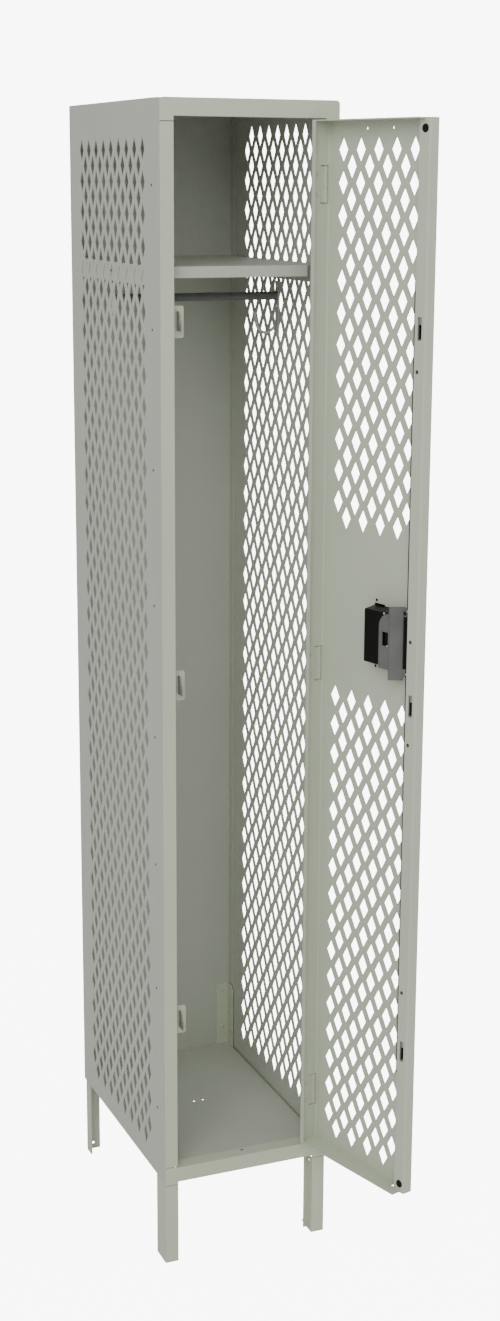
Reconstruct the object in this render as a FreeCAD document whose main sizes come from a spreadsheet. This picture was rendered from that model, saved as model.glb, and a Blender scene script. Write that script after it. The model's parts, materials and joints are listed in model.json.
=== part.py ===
import FreeCAD, Part
import math
import os
import Sketcher

# School locker, single tier, ventilated: 12 in wide, 18 in deep, 72 in tall on 6 in legs.
# Millimetres, X to the right, Y to the back, Z up. The origin is on the floor under the
# middle of the cabinet. The door stands open, as the locker is shown.

DOC = FreeCAD.newDocument("school_locker")
SHEET = DOC.addObject("Spreadsheet::Sheet", "Sheet")
OUT = "parts"
NODES = []

DRIVING = [
    ("body_width", 304.8), ("body_depth", 457.2), ("overall_height", 1981.2), ("leg_height", 152.4),
    ("sheet_gauge", 1.5), ("back_gauge", 1.2), ("door_gauge", 1.9), ("hinge_gauge", 1.2),
    ("jamb_face", 22.9), ("jamb_web", 23.4), ("side_web", 44.2), ("stop_width", 8.0),
    ("head_face", 27.7), ("head_lap", 35.1), ("sill_top", 180.3), ("sill_bottom", 153.2),
    ("lap_top", 182.1), ("lap_bottom", 148.8), ("corner_radius", 6.5), ("joint_gap", 1.2),
    ("leg_face", 24.1), ("leg_return", 6.0), ("rear_leg_flange", 26.0), ("rear_leg_top", 305.0),
    ("rear_leg_gauge", 2.0), ("anchor_hole", 5.15), ("anchor_across", 280.8),
    ("anchor_along", 412.0), ("foot_gauge", 3.0),
    ("floor_top", 177.8), ("pan_flange", 22.0), ("row_pitch", 25.4), ("hole_width", 22.0),
    ("hole_height", 39.4), ("left_first", 81.0), ("left_pitch", 38.67), ("right_first", 74.2),
    ("right_pitch", 38.33), ("first_row", 1905.0), ("right_top_row", 1932.3),
    ("shelf_top", 1724.4), ("shelf_lip", 18.0), ("shelf_flange", 31.0), ("shelf_setback", 30.0),
    ("shelf_corner", 112.5),
    ("rod_height", 1664.0), ("rod_back", 238.0), ("rod_radius", 7.0), ("rod_bore", 5.6),
    ("pin_inset", 24.6), ("pin_forward", 1.5), ("pin_radius", 1.5), ("pin_running_gap", 0.06),
    ("knuckle_radius", 3.0), ("hinge_length", 56.0), ("knuckle_gap", 0.3),
    ("hinge_high", 1851.5), ("hinge_middle", 1067.0), ("hinge_low", 286.0),
    ("door_open", 106.0), ("door_start", 1.65), ("door_end", 254.1), ("door_front", 6.0),
    ("door_bottom", 191.5), ("door_top", 1950.4), ("hinge_flange", 38.5), ("hinge_lip", 10.3),
    ("channel_depth", 20.4), ("channel_return", 23.5), ("door_first", 37.75), ("door_pitch", 41.05),
    ("latch_high", 1638.6), ("latch_middle", 1043.2), ("latch_low", 448.1), ("latch_along", 241.0),
    ("slot_width", 9.1), ("slot_half", 17.8), ("bar_inner", 225.6), ("bar_outer", 248.0),
    ("bar_back", 17.7), ("bar_gauge", 2.5), ("bar_bottom", 405.0), ("bar_top", 1710.0),
    ("bar_travel", 10.0), ("leg_spacer", 1.5), ("cup_near", 132.0), ("cup_far", 222.0), ("cup_low", 1093.0),
    ("cup_high", 1190.0), ("cup_back_low", 1099.5), ("cup_back_high", 1187.0), ("cup_depth", 28.0),
    ("cup_wall", 1.6), ("lift_low", 1080.0), ("lift_high", 1200.0), ("bumper_radius", 6.45),
]


class Dim(float):
    """A length that remembers the sheet expression it came from."""

    def __new__(cls, value, text):
        dim = float.__new__(cls, value)
        dim.text = text
        return dim

    def __add__(self, other):
        return Dim(float(self) + float(other), "(%s + %s)" % (self.text, text_of(other)))

    def __radd__(self, other):
        return Dim(float(other) + float(self), "(%s + %s)" % (text_of(other), self.text))

    def __sub__(self, other):
        return Dim(float(self) - float(other), "(%s - %s)" % (self.text, text_of(other)))

    def __rsub__(self, other):
        return Dim(float(other) - float(self), "(%s - %s)" % (text_of(other), self.text))

    def __mul__(self, other):
        return Dim(float(self) * float(other), "(%s * %s)" % (self.text, text_of(other)))

    def __rmul__(self, other):
        return Dim(float(other) * float(self), "(%s * %s)" % (text_of(other), self.text))

    def __truediv__(self, other):
        return Dim(float(self) / float(other), "(%s / %s)" % (self.text, text_of(other)))

    def __neg__(self):
        return Dim(-float(self), "(0 - %s)" % self.text)


def text_of(value):
    """The expression text of a Dim, or a plain number written out."""
    return value.text if isinstance(value, Dim) else "%.6f" % float(value)


def fill_sheet():
    """Write the driving dimensions to the sheet and hand back one Dim for each."""
    dims = {}
    for row, (alias, value) in enumerate(DRIVING, start=1):
        SHEET.set("A%d" % row, alias)
        SHEET.set("B%d" % row, "%g" % value)
        SHEET.setAlias("B%d" % row, alias)
        dims[alias] = Dim(value, "Sheet.%s" % alias)
    DOC.recompute()
    return dims


D = fill_sheet()
T = D["sheet_gauge"]
TB = D["back_gauge"]
TD = D["door_gauge"]
TH = D["hinge_gauge"]

# Planes of the cabinet
LEFT = -(D["body_width"] / 2)
RIGHT = D["body_width"] / 2
FRONT = -(D["body_depth"] / 2)
BACK = D["body_depth"] / 2
TOP = D["overall_height"]
BASE = D["leg_height"]
HINGE_Z = [D["hinge_high"], D["hinge_middle"], D["hinge_low"]]
LATCH_Z = [D["latch_high"], D["latch_middle"], D["latch_low"]]
PIN_X = RIGHT - D["pin_inset"]
PIN_Y = FRONT - D["pin_forward"]


# ---- building blocks ---------------------------------------------------------------------

def bind(obj, prop, value):
    """Set a property from a number or bind it to the sheet."""
    if isinstance(value, Dim):
        obj.setExpression(prop, value.text)
    else:
        obj.setExpression(prop, "%.6f" % float(value))


def put(obj, x, y, z):
    """Bind the base point of a placement."""
    obj.Placement = FreeCAD.Placement(FreeCAD.Vector(float(x), float(y), float(z)), FreeCAD.Rotation())
    bind(obj, ".Placement.Base.x", x)
    bind(obj, ".Placement.Base.y", y)
    bind(obj, ".Placement.Base.z", z)


def box(name, x, y, z):
    """A block between (low, high) limits on each axis."""
    obj = DOC.addObject("Part::Box", name)
    bind(obj, "Length", x[1] - x[0])
    bind(obj, "Width", y[1] - y[0])
    bind(obj, "Height", z[1] - z[0])
    put(obj, x[0], y[0], z[0])
    return obj


AXIS_TURN = {
    "x": FreeCAD.Rotation(FreeCAD.Vector(0, 1, 0), 90),
    "y": FreeCAD.Rotation(FreeCAD.Vector(1, 0, 0), -90),
    "z": FreeCAD.Rotation(),
}


def rod(name, axis, start, radius, length):
    """A cylinder that starts at a point and runs along +X, +Y or +Z."""
    obj = DOC.addObject("Part::Cylinder", name)
    bind(obj, "Radius", radius)
    bind(obj, "Height", length)
    obj.Placement = FreeCAD.Placement(FreeCAD.Vector(), AXIS_TURN[axis])
    bind(obj, ".Placement.Base.x", start[0])
    bind(obj, ".Placement.Base.y", start[1])
    bind(obj, ".Placement.Base.z", start[2])
    return obj


def fuse(name, items):
    """One solid from overlapping or touching pieces."""
    obj = DOC.addObject("Part::MultiFuse", name)
    obj.Shapes = items
    obj.Refine = True
    return obj


def group(name, items):
    """Several separate shapes kept side by side."""
    obj = DOC.addObject("Part::Compound", name)
    obj.Links = items
    return obj


def cut(name, base, tools):
    """The base less every tool."""
    obj = DOC.addObject("Part::Cut", name)
    obj.Base = base
    obj.Tool = tools[0] if len(tools) == 1 else fuse(name + "_tools", tools)
    obj.Refine = True
    return obj


def plane_of(body, role):
    """The body's own origin plane with the given role."""
    for feature in body.Origin.OriginFeatures:
        if feature.Role == role:
            return feature
    return None


def profile(name, role, points, length, start=(0, 0, 0)):
    """A PartDesign body: a closed polygon, every corner driven by the sheet, padded along +axis.

    On XY_Plane a point is (x, y), on XZ_Plane (x, z) and on YZ_Plane (y, z)."""
    body = DOC.addObject("PartDesign::Body", name)
    sketch = body.newObject("Sketcher::SketchObject", name + "_sketch")
    sketch.AttachmentSupport = [(plane_of(body, role), "")]
    sketch.MapMode = "FlatFace"
    count = len(points)
    corners = [FreeCAD.Vector(float(p[0]), float(p[1]), 0) for p in points]
    for i in range(count):
        sketch.addGeometry(Part.LineSegment(corners[i], corners[(i + 1) % count]), False)
    for i in range(count):
        sketch.addConstraint(Sketcher.Constraint("Coincident", i, 2, (i + 1) % count, 1))
    for i, point in enumerate(points):
        for kind, value in (("DistanceX", point[0]), ("DistanceY", point[1])):
            index = sketch.addConstraint(Sketcher.Constraint(kind, -1, 1, i, 1, float(value)))
            if isinstance(value, Dim):
                sketch.setExpression("Constraints[%d]" % index, value.text)
    pad = body.newObject("PartDesign::Pad", name + "_pad")
    pad.Profile = sketch
    pad.Reversed = role == "XZ_Plane"
    bind(pad, "Length", length)
    put(body, start[0], start[1], start[2])
    return body


def bend(centre, radius, start, finish, steps=4):
    """Points along an arc, in degrees, round a centre that is driven by the sheet."""
    points = []
    for i in range(steps + 1):
        angle = math.radians(start + (finish - start) * i / steps)
        points.append((centre[0] + radius * round(math.cos(angle), 6), centre[1] + radius * round(math.sin(angle), 6)))
    return points


def diamond(across, up, width, height):
    """Corner points of one ventilation diamond."""
    return [(across - width / 2, up), (across, up - height / 2),
            (across + width / 2, up), (across, up + height / 2)]


def diamond_field(top, rows, wide_row, first, pitch, count):
    """Centres of staggered rows: count holes in the wide rows, one fewer in between."""
    centres = []
    for row in rows:
        up = top - row * float(D["row_pitch"])
        full = (row % 2) == wide_row
        for column in range(count if full else count - 1):
            across = first + pitch * (column if full else column + 0.5)
            centres.append((across, up))
    return centres


def pierced_sheet(name, outline, centres, to_vector, direction, thickness):
    """A flat sheet with diamond holes, extruded through its thickness."""
    loops = [outline] + [diamond(a, u, float(D["hole_width"]), float(D["hole_height"])) for a, u in centres]
    wires = []
    for loop in loops:
        corners = [to_vector(a, u) for a, u in loop]
        wires.append(Part.makePolygon(corners + [corners[0]]))
    flat = DOC.addObject("Part::Feature", name + "_outline")
    flat.Shape = Part.Face(wires, "Part::FaceMakerBullseye")
    solid = DOC.addObject("Part::Extrusion", name)
    solid.Base = flat
    solid.Dir = direction
    solid.DirMode = "Custom"
    solid.Solid = True
    bind(solid, "LengthFwd", thickness)
    return solid


def node(name, items, on_door=False):
    """One named sub-part. Door pieces are drawn shut, about the hinge pin, and swung open here."""
    obj = DOC.addObject("Part::Compound", name)
    obj.Label = name
    obj.Links = items
    if on_door:
        turn = FreeCAD.Rotation(FreeCAD.Vector(0, 0, 1), float(D["door_open"]))
        obj.Placement = FreeCAD.Placement(FreeCAD.Vector(float(PIN_X), float(PIN_Y), 0), turn)
        bind(obj, ".Placement.Base.x", PIN_X)
        bind(obj, ".Placement.Base.y", PIN_Y)
        bind(obj, ".Placement.Rotation.Angle", D["door_open"])
    else:
        obj.Placement = FreeCAD.Placement()
    NODES.append(obj)
    return obj


def along(distance):
    """Door coordinate: distance from the hinge pin towards the lock edge, door shut."""
    return -distance if isinstance(distance, Dim) else -1.0 * distance


def inward(depth):
    """Door coordinate: depth behind the door's front face, door shut."""
    return depth - D["door_front"]


# ---- front frame -------------------------------------------------------------------------

def channel_points(side, stop_inward, web_skin):
    """Section of a front post: face, side web, jamb web and a small return."""
    outer = RIGHT
    jamb = RIGHT - D["jamb_face"]
    web = outer - web_skin
    ret = jamb - D["stop_width"] if stop_inward else jamb + D["stop_width"]
    back = FRONT + D["jamb_web"]
    points = [(outer, FRONT), (outer, FRONT + T), (web, FRONT + T), (web, FRONT + D["side_web"]),
              (web - T, FRONT + D["side_web"]), (web - T, FRONT + T), (jamb + T, FRONT + T)]
    if stop_inward:
        points += [(jamb + T, back), (ret, back), (ret, back - T), (jamb, back - T), (jamb, FRONT)]
    else:
        points += [(jamb + T, back - T), (ret, back - T), (ret, back), (jamb, back), (jamb, FRONT)]
    if side == "left":
        points = [(-x, y) for x, y in points]
    return points


def uprights():
    """The two posts beside the door, with the door stop on the lock side."""
    low = D["lap_top"] + D["joint_gap"]
    high = TOP - D["head_lap"] - D["joint_gap"]
    left = profile("left_post", "XY_Plane", channel_points("left", True, T + 0.1), high - low, (0, 0, low))
    node("frame_left_upright", [left])
    right = profile("right_post", "XY_Plane", channel_points("right", False, T + 0.1), high - low, (0, 0, low))
    jamb = RIGHT - D["jamb_face"]
    half = D["hinge_length"] / 2 + 0.5
    notches = [box("hinge_notch_%d" % i, (jamb - 1, jamb + 2), (FRONT - 1, FRONT + 2.6), (z - half, z + half))
               for i, z in enumerate(HINGE_Z)]
    node("frame_right_upright", [cut("right_post_notched", right, notches)])


def top_rail():
    """Head of the frame: a face plate with lapped ends, a head return and a top flange."""
    r = D["corner_radius"]
    jamb = RIGHT - D["jamb_face"]
    head = TOP - D["head_face"]
    lap = TOP - D["head_lap"]
    face = profile("head_face", "XZ_Plane",
                   [(LEFT, lap), (-jamb, lap), (-jamb, head), (jamb, head), (jamb, lap), (RIGHT, lap)]
                   + bend((RIGHT - r, TOP - r), r, 0, 90, 5) + bend((LEFT + r, TOP - r), r, 90, 180, 5),
                   T, (0, FRONT, 0))
    under = box("head_return", (-jamb, jamb), (FRONT + T, FRONT + D["jamb_web"]), (head, head + T))
    flange = box("head_flange", (-jamb, jamb), (FRONT + T, FRONT + D["side_web"]),
                 (TOP - T * 2 - 0.1, TOP - T - 0.1))
    node("frame_top_rail", [fuse("head_rail", [face, under, flange])])


def bottom_rail():
    """Sill of the frame: a face plate with lapped ends, a sill flange and a hem below."""
    jamb = RIGHT - D["jamb_face"]
    low = D["lap_bottom"]
    high = D["lap_top"]
    knee = RIGHT - D["leg_face"]
    face = profile("sill_face", "XZ_Plane",
                   [(LEFT, low), (-knee, low), (-knee, D["sill_bottom"]), (knee, D["sill_bottom"]),
                    (knee, low), (RIGHT, low), (RIGHT, high), (jamb, high), (jamb, D["sill_top"]),
                    (-jamb, D["sill_top"]), (-jamb, high), (LEFT, high)], T, (0, FRONT, 0))
    sill = box("sill_flange", (-jamb, jamb), (FRONT + T, FRONT + 27), (D["sill_top"] - T, D["sill_top"]))
    hem = box("sill_hem", (-jamb, jamb), (FRONT + T, FRONT + 15), (D["sill_bottom"], D["sill_bottom"] + T))
    body = fuse("sill_rail", [face, sill, hem])
    hole = rod("sill_bolt_hole", "z", (0, FRONT + 20.6, D["sill_top"] - 5), 3.5, 10)
    node("frame_bottom_rail", [cut("sill_rail_drilled", body, [hole])])


# ---- legs --------------------------------------------------------------------------------

def front_legs():
    """Channel legs below the posts, with cross holes near both ends of the inner web."""
    for side in ("left", "right"):
        sign = -1 if side == "left" else 1
        outer = RIGHT
        face = outer - D["leg_face"]
        back = FRONT + D["jamb_web"]
        points = [(outer, FRONT), (outer, FRONT + D["side_web"]), (outer - T, FRONT + D["side_web"]),
                  (outer - T, FRONT + T), (face + T, FRONT + T), (face + T, back),
                  (face - D["leg_return"], back), (face - D["leg_return"], back - T), (face, back - T),
                  (face, FRONT)]
        points = [(x * sign, y) for x, y in points]
        channel = profile(side + "_leg_channel", "XY_Plane", points, D["lap_bottom"] - D["joint_gap"])
        edge = outer - T if side == "right" else -outer
        tall = box(side + "_leg_web_top", (edge, edge + T), (FRONT + T + 0.1, FRONT + D["side_web"]),
                   (D["lap_bottom"] - 20, BASE - 0.1))
        leg = fuse(side + "_leg_folded", [channel, tall])
        start = face - 2 if side == "right" else -face - 4
        holes = [rod("%s_leg_hole_%d" % (side, i), "x", (start, FRONT + 14, z), 2.6, 6)
                 for i, z in enumerate((12.0, 138.0))]
        node("front_leg_" + side, [cut(side + "_leg_drilled", leg, holes)])


def leg_splices():
    """Plates welded behind the joint of leg, rail and post."""
    plates = []
    for side, sign in (("left", -1), ("right", 1)):
        near = RIGHT - 18
        wide = RIGHT - D["leg_face"] + T + 0.1
        step = D["lap_top"] + D["joint_gap"] * 0.9
        outline = [(wide, D["lap_bottom"] - 90), (RIGHT - T - 0.1, D["lap_bottom"] - 90), (RIGHT - T - 0.1, step),
                   (RIGHT - T * 2 - 0.3, step), (RIGHT - T * 2 - 0.3, D["lap_top"] + 70), (near, D["lap_top"] + 70),
                   (near, D["sill_bottom"] - 2.0), (wide, D["sill_bottom"] - 2.0)]
        plates.append(profile(side + "_splice", "XZ_Plane", [(x * sign, z) for x, z in outline], 2.0,
                              (0, FRONT + T, 0)))
    node("leg_splice_plates", plates)


def foot_plates():
    """Anchor feet welded in the bottom of the front legs, each with one floor-bolt hole."""
    g = D["foot_gauge"]
    plates = []
    for side, sign in (("left", -1), ("right", 1)):
        near = (RIGHT - T - 21.0) * sign
        far = (RIGHT - T) * sign
        limits = (near, far) if sign > 0 else (far, near)
        plate = box(side + "_foot", limits, (FRONT + T, FRONT + D["side_web"]), (0, g))
        hole = rod(side + "_anchor", "z", (D["anchor_across"] / 2 * sign, -(D["anchor_along"] / 2), -1),
                   D["anchor_hole"], 6)
        inner = (RIGHT - D["leg_face"] - 1) * sign
        outer = (RIGHT - D["leg_face"] + T) * sign
        span = (inner, outer) if sign > 0 else (outer, inner)
        relief = box(side + "_foot_relief", span, (FRONT, FRONT + D["jamb_web"]), (-1, g + 1))
        plates.append(cut(side + "_foot_drilled", plate, [hole, relief]))
    node("foot_plates", plates)


def rear_legs():
    """Angle legs that run up inside the cabinet's back corners."""
    g = D["rear_leg_gauge"]
    f = D["rear_leg_flange"]
    y_back = BACK - TB
    for side, sign in (("left", -1), ("right", 1)):
        x_out = RIGHT - T - D["leg_spacer"]
        points = [(x_out, y_back), (x_out, y_back - f), (x_out - g, y_back - f), (x_out - g, y_back - g),
                  (x_out - f, y_back - g), (x_out - f, y_back)]
        points = [(x * sign, y) for x, y in points]
        leg = profile(side + "_angle", "XY_Plane", points, D["rear_leg_top"])
        clip = box(side + "_angle_clip", (-3, 3), (-3, 3), (-3, 3))
        clip.Placement = FreeCAD.Placement(
            FreeCAD.Vector(float(x_out) * sign, float(y_back - f), float(D["rear_leg_top"])),
            FreeCAD.Rotation(FreeCAD.Vector(1, 0, 0), 45))
        bind(clip, "Length", 8.0)
        bind(clip, "Width", 12.0)
        bind(clip, "Height", 12.0)
        clip.setExpression(".Placement.Base.x", (x_out * sign - 4).text)
        clip.setExpression(".Placement.Base.y", (y_back - f).text)
        clip.setExpression(".Placement.Base.z", (D["rear_leg_top"] - 8.5).text)
        hole = rod(side + "_angle_hole", "y", ((x_out - 12) * sign, y_back - 5, 12), 3.0, 10)
        node("rear_leg_" + side, [cut(side + "_angle_drilled", leg, [clip, hole])])


# ---- cabinet sheets ----------------------------------------------------------------------

def side_panels():
    """Outer sides with one field of diamond holes; the right side is the same sheet upside down."""
    y0 = float(FRONT + T + 0.1)
    y1 = float(BACK)
    z0 = float(BASE)
    z1 = float(TOP)
    outline = [(y0, z0), (y1, z0), (y1, z1), (y0 + 20, z1), (y0 + 20, z1 - 2), (y0, z1 - 2)]
    for side, x, top, wide_row in (("left", LEFT, D["first_row"], 0), ("right", RIGHT - T, D["right_top_row"], 1)):
        first = float(FRONT + D[side + "_first"])
        centres = diamond_field(float(top), range(68), wide_row, first, float(D[side + "_pitch"]), 9)
        sheet = pierced_sheet(side + "_pierced", outline, centres,
                              lambda a, u: FreeCAD.Vector(0, a, u), FreeCAD.Vector(1, 0, 0), T)
        put(sheet, x, 0, 0)
        node("side_panel_" + side, [sheet])


def back_panel():
    """Plain back with forward flanges along its sides."""
    inner = RIGHT - T
    sheet = box("back_sheet", (-inner, inner), (BACK - TB, BACK), (BASE, TOP - T))
    low = D["rear_leg_top"] + 4
    flanges = [box("back_flange_left", (-inner, -inner + TB), (BACK - 19, BACK - TB), (low, TOP - 30)),
               box("back_flange_right", (inner - TB, inner), (BACK - 19, BACK - TB), (low, TOP - 30))]
    node("back_panel", [fuse("back_folded", [sheet] + flanges)])


def top_panel():
    """Lid of the cabinet: a sheet with flanges turned down at the sides and back."""
    inner = RIGHT - T
    flange = 20
    rear = BACK - TB
    sheet = box("lid_sheet", (-inner, inner), (FRONT + T, BACK), (TOP - T, TOP))
    parts = [sheet,
             box("lid_left", (-inner, -inner + T), (FRONT + 46, rear), (TOP - flange, TOP - T)),
             box("lid_right", (inner - T, inner), (FRONT + 46, rear), (TOP - flange, TOP - T)),
             box("lid_rear", (-inner, inner), (rear - T, rear), (TOP - flange, TOP - T))]
    notches = [box("lid_notch_left", (LEFT, -inner + 9), (FRONT, FRONT + 20), (TOP - 5, TOP + 1)),
               box("lid_notch_right", (inner - 9, RIGHT), (FRONT, FRONT + 20), (TOP - 5, TOP + 1))]
    node("top_panel", [cut("lid_notched", fuse("lid", parts), notches)])


def bottom_panel():
    """Floor of the cabinet, notched round the posts and the rear angles."""
    inner = RIGHT - T - 3.2
    floor = D["floor_top"]
    rear = BACK - TB
    low = floor - D["pan_flange"]
    parts = [box("floor_sheet", (-inner, inner), (FRONT + 27.2, rear), (floor - T, floor)),
             box("floor_left", (-inner, -inner + T), (FRONT + 46, rear), (low, floor - T)),
             box("floor_right", (inner - T, inner), (FRONT + 46, rear), (low, floor - T)),
             box("floor_rear", (-inner, inner), (rear - T, rear), (low, floor - T)),
             box("floor_front", (-inner + 25, inner - 25), (FRONT + 27.2, FRONT + 27.2 + T), (low, floor - T))]
    tools = []
    reach = D["rear_leg_flange"] + D["leg_spacer"] + 0.6
    wall = D["rear_leg_gauge"] + D["leg_spacer"] + 0.2
    for side, sign in (("left", -1), ("right", 1)):
        near = (RIGHT - D["jamb_face"] - 1) * sign
        far = RIGHT * sign
        span = (near, far) if sign > 0 else (far, near)
        tools.append(box(side + "_post_notch", span, (FRONT, FRONT + 45), (low - 1, floor + 1)))
        a = (RIGHT - T - wall) * sign
        b = (RIGHT + 1) * sign
        span = (a, b) if sign > 0 else (b, a)
        tools.append(box(side + "_angle_side_slot", span, (rear - reach, rear + 1), (low - 1, floor + 1)))
        c = (RIGHT - T - reach) * sign
        span = (c, b) if sign > 0 else (b, c)
        tools.append(box(side + "_angle_back_slot", span, (rear - D["rear_leg_gauge"] - 0.2, rear + 1),
                         (low - 1, floor + 1)))
    for i, x in enumerate((-8.9, 8.9)):
        tools.append(rod("floor_drain_%d" % i, "z", (x, FRONT + 235, floor - 10), 2.5, 20))
    node("bottom_panel", [cut("floor", fuse("floor_folded", parts), tools)])


def shelf():
    """Hat shelf with a folded front lip and side flanges; its hinge-side corner clears the door's fold."""
    inner = RIGHT - T - 0.1
    high = D["shelf_top"]
    y0 = FRONT + D["shelf_setback"]
    y1 = BACK - TB - 0.2
    parts = [box("shelf_deck", (-inner, inner), (y0, y1), (high - T, high)),
             box("shelf_lip", (-inner, inner), (y0, y0 + T), (high - D["shelf_lip"], high - T)),
             box("shelf_hem", (-inner, inner), (y0 + T, y0 + 12), (high - D["shelf_lip"],
                                                                 high - D["shelf_lip"] + T)),
             box("shelf_left", (-inner, -inner + T), (y0, BACK - 24), (high - D["shelf_flange"], high - T)),
             box("shelf_right", (inner - T, inner), (y0, BACK - 24), (high - D["shelf_flange"], high - T)),
             box("shelf_rear", (-inner + 2, inner - 2), (y1 - T, y1), (high - D["shelf_flange"], high - T))]
    tools = []
    for side, sign in (("left", -1), ("right", 1)):
        near = (inner - 3.4) * sign
        far = (inner + 2) * sign
        span = (near, far) if sign > 0 else (far, near)
        depth = high - D["shelf_flange"] - 1
        front = span if sign < 0 else (D["shelf_corner"], far)
        tools.append(box(side + "_shelf_front_notch", front, (FRONT + 10, FRONT + 45), (depth, high + 1)))
        tools.append(box(side + "_shelf_rear_notch", span, (BACK - 24, BACK), (depth, high + 1)))
    node("shelf", [cut("shelf_notched", fuse("shelf_folded", parts), tools)])


# ---- fasteners of the cabinet ------------------------------------------------------------

def dome(name, axis, start, radius, height, sign):
    """A low rivet head: a wide disc with a smaller one on it, growing from start."""
    low = rod(name + "_brim", axis, start, radius, height * 0.55)
    top = rod(name + "_crown", axis, start, radius * 0.72, height)
    head = fuse(name, [low, top])
    if sign < 0:
        turn = {"x": (0, 0, 1), "y": (1, 0, 0), "z": (1, 0, 0)}[axis]
        flip = FreeCAD.Rotation(FreeCAD.Vector(*turn), 180)
        spot = FreeCAD.Vector(float(start[0]), float(start[1]), float(start[2]))
        head.Placement = FreeCAD.Placement(spot - flip.multVec(spot), flip)
    return head


def side_rivets():
    """Rivet heads along the front edge of both sides, and one pair at the shelf."""
    for side, x, sign in (("left", LEFT, -1), ("right", RIGHT, 1)):
        heads = []
        for i in range(8):
            z = D["overall_height"] - 131.6 - i * 223.9
            heads.append(dome("%s_rivet_%d" % (side, i), "x", (x, FRONT + 38.5, z), 2.2, 0.9, sign))
        heads.append(dome("%s_shelf_rivet" % side, "x", (x, FRONT + 240.5, D["shelf_top"] - 14), 2.2, 0.9, sign))
        node("side_rivets_" + side, heads)


def rear_leg_bolts():
    """Low round heads that hold the rear angles to the back and, through spacers, to the sides."""
    bolts = []
    gap = D["leg_spacer"]
    inside = RIGHT - T - gap - D["rear_leg_gauge"]
    y_face = BACK - TB - D["rear_leg_gauge"]
    for side, sign in (("left", -1), ("right", 1)):
        for i, z in enumerate((212.0, 290.0)):
            bolts.append(rod("%s_back_bolt_%d" % (side, i), "y", ((RIGHT - T - 15) * sign, y_face - 1.6, z), 3.2, 1.6))
            span = (inside - 1.6) * sign if sign > 0 else -inside
            bolts.append(rod("%s_side_bolt_%d" % (side, i), "x", (span, BACK - TB - 15, z), 3.2, 1.6))
            wall = (RIGHT - T - gap) if sign > 0 else -(RIGHT - T)
            bolts.append(rod("%s_spacer_%d" % (side, i), "x", (wall, BACK - TB - 15, z), 4.0, gap))
    node("rear_leg_bolts", bolts)


# ---- coat rod and hook -------------------------------------------------------------------

def coat_rod():
    """Tubular hanging rod across the cabinet under the shelf."""
    y = FRONT + D["rod_back"]
    z = D["rod_height"]
    half = RIGHT - T - 2.6
    bar = rod("rod_bar", "x", (-half, y, z), D["rod_radius"], half * 2)
    bore = rod("rod_hollow", "x", (-half - 1, y, z), D["rod_bore"], half * 2 + 2)
    node("coat_rod", [cut("rod_tube", bar, [bore])])


def rod_brackets():
    """Strip on each side with a stub for the rod; the right one runs lower, for the coat hook."""
    y = FRONT + D["rod_back"]
    z = D["rod_height"]
    for side, sign in (("left", -1), ("right", 1)):
        wall = (RIGHT - T) * sign
        inner = (RIGHT - T - 2.5) * sign
        span = (inner, wall) if sign > 0 else (wall, inner)
        low = z - 69 if side == "right" else z - 24
        plate = box(side + "_strip", span, (y - 6.5, y + 6.5), (low, z + 25))
        start = (RIGHT - T - 16) if sign > 0 else -(RIGHT - T - 2)
        stub = rod(side + "_rod_stub", "x", (start, y, z), D["rod_bore"] - 0.1, 14)
        node("rod_bracket_" + side, [fuse(side + "_bracket", [plate, stub])])


def coat_hook():
    """Bent wire hook rising from the foot of the right-hand strip."""
    y = FRONT + D["rod_back"] + 2
    path = [(146.6, 1612.0), (141.0, 1606.5), (133.0, 1602.0), (124.5, 1602.5), (116.5, 1607.5),
            (111.5, 1616.0), (109.5, 1626.0), (108.0, 1634.0)]
    pieces = []
    for i in range(len(path) - 1):
        (x0, z0), (x1, z1) = path[i], path[i + 1]
        run = FreeCAD.Vector(x1 - x0, 0, z1 - z0)
        piece = DOC.addObject("Part::Cylinder", "hook_wire_%d" % i)
        piece.Radius = 2.6
        piece.Height = run.Length
        turn = FreeCAD.Rotation(FreeCAD.Vector(0, 0, 1), run)
        piece.Placement = FreeCAD.Placement(FreeCAD.Vector(x0, float(y), z0), turn)
        bind(piece, ".Placement.Base.y", y)
        pieces.append(piece)
        ball = DOC.addObject("Part::Sphere", "hook_bend_%d" % i)
        ball.Radius = 2.6 if i < len(path) - 2 else 3.8
        ball.Placement = FreeCAD.Placement(FreeCAD.Vector(x1, float(y), z1), FreeCAD.Rotation())
        bind(ball, ".Placement.Base.y", y)
        pieces.append(ball)
    node("coat_hook", [fuse("hook_wire", pieces)])


def bracket_screws():
    """Heads of the screws that hold the rod strips to the sides."""
    heads = []
    y = FRONT + D["rod_back"]
    for side, sign in (("left", -1), ("right", 1)):
        face = (RIGHT - T - 2.5) * sign
        for i, offset in enumerate((17.0, -17.0)):
            start = (face, y, D["rod_height"] + offset)
            heads.append(dome("%s_strip_screw_%d" % (side, i), "x", start, 3.4, 2.0, -sign))
    node("bracket_screws", heads)


# ---- strikes on the lock-side post -------------------------------------------------------

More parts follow.
